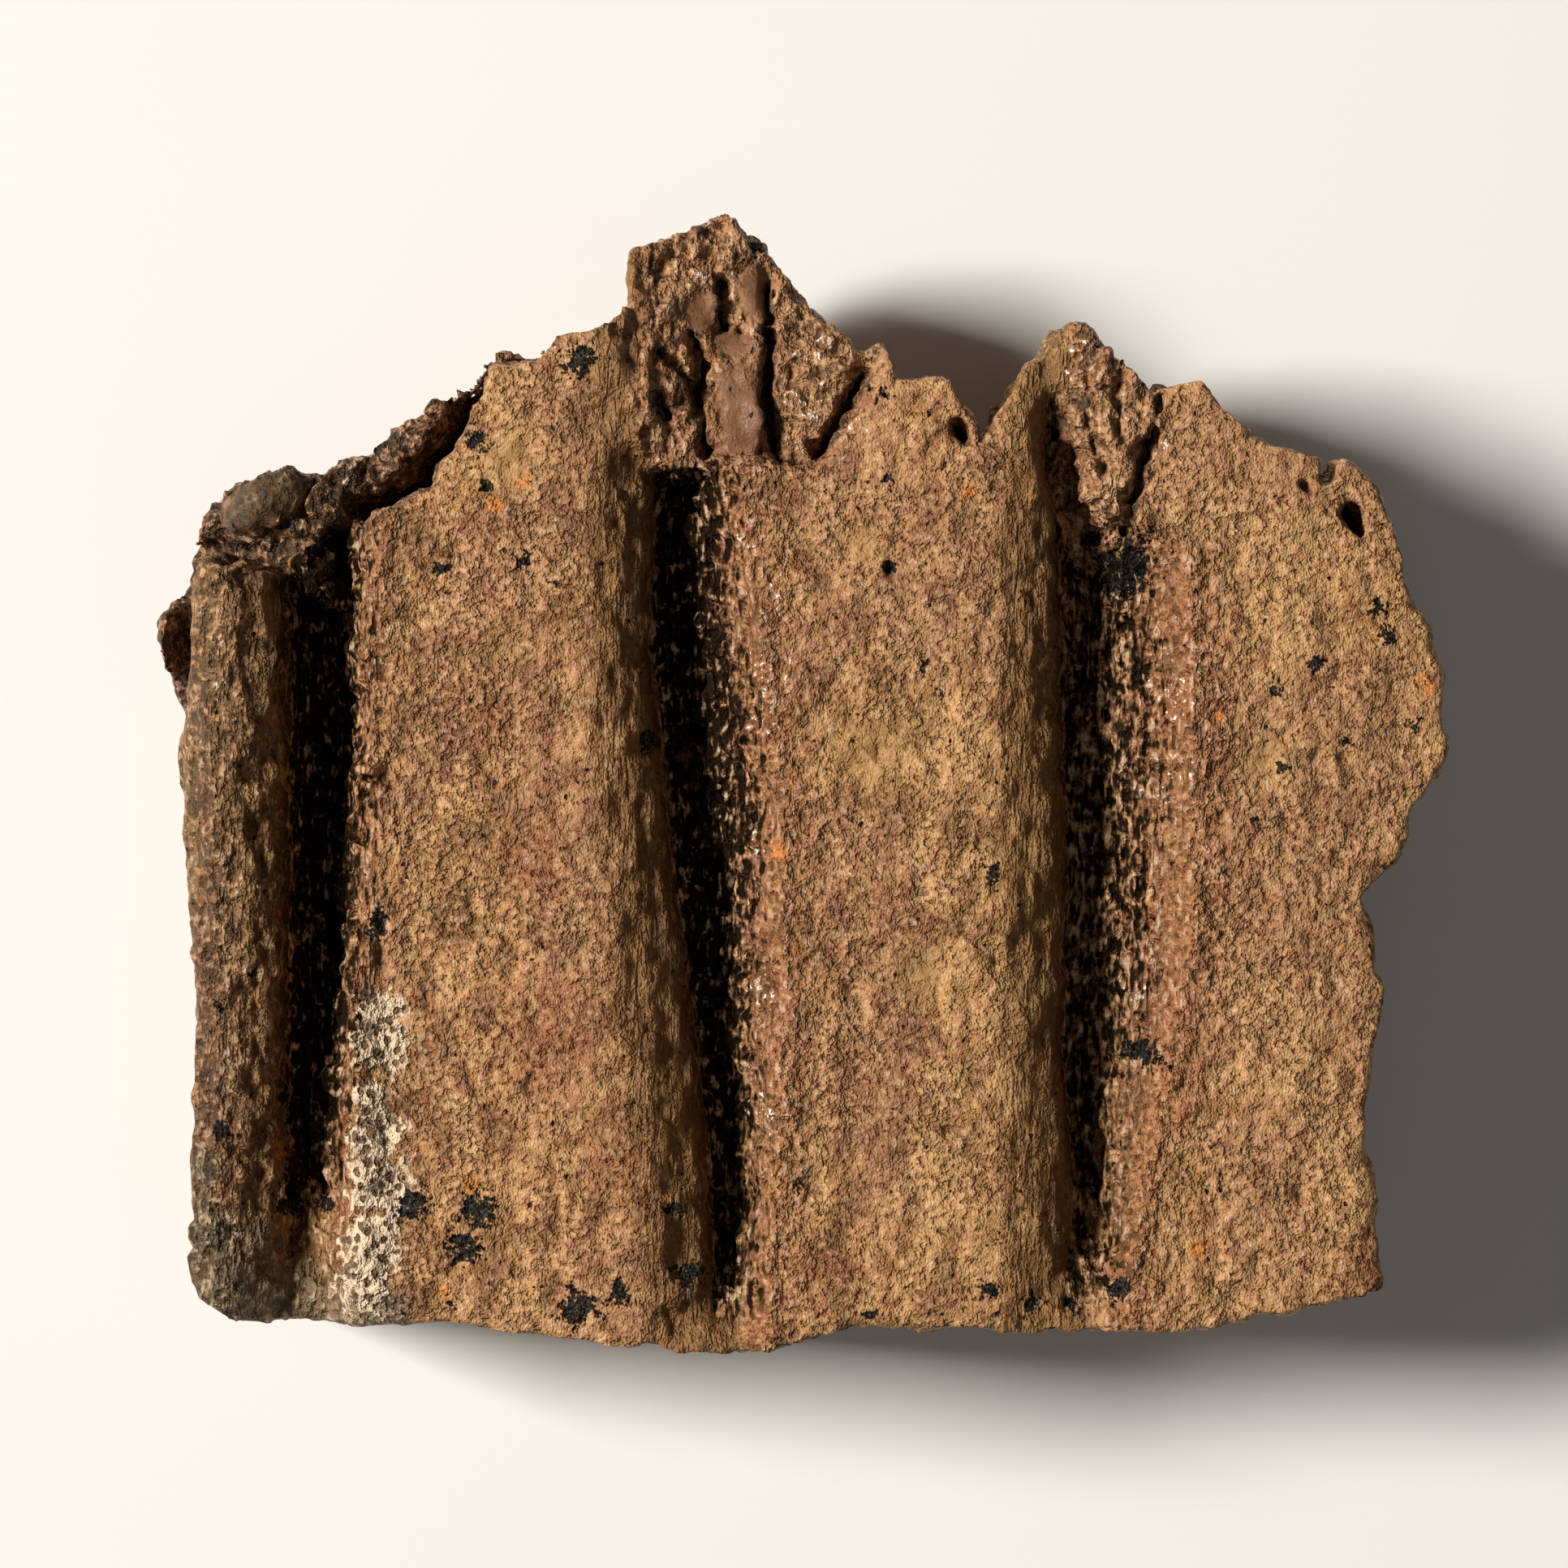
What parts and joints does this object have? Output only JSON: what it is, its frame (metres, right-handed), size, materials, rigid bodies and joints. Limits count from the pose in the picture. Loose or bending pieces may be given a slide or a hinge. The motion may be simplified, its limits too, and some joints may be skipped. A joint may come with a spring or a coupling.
{
  "type": "fossil jaw section",
  "caption": "Broken slab of fossil bone with broad flat ridges and deep tooth grooves between them, thick at one end and thin at the other, with a ragged upper edge.",
  "frame": {"origin": "under the middle of the bone's box, on the surface it lies on", "axes": "+Z away from that surface, out of the grooved face; +X across the grooves towards the thin end; +Y along the grooves towards the peak"},
  "size_m": [0.0812, 0.0712, 0.0243],
  "materials": {
    "fossil_bone": "matt to faintly waxy mineralised bone with dark mineral specks"
  },
  "bodies": {
    "root": {"jaw_section": "fossil_bone"}
  },
  "joints": []
}
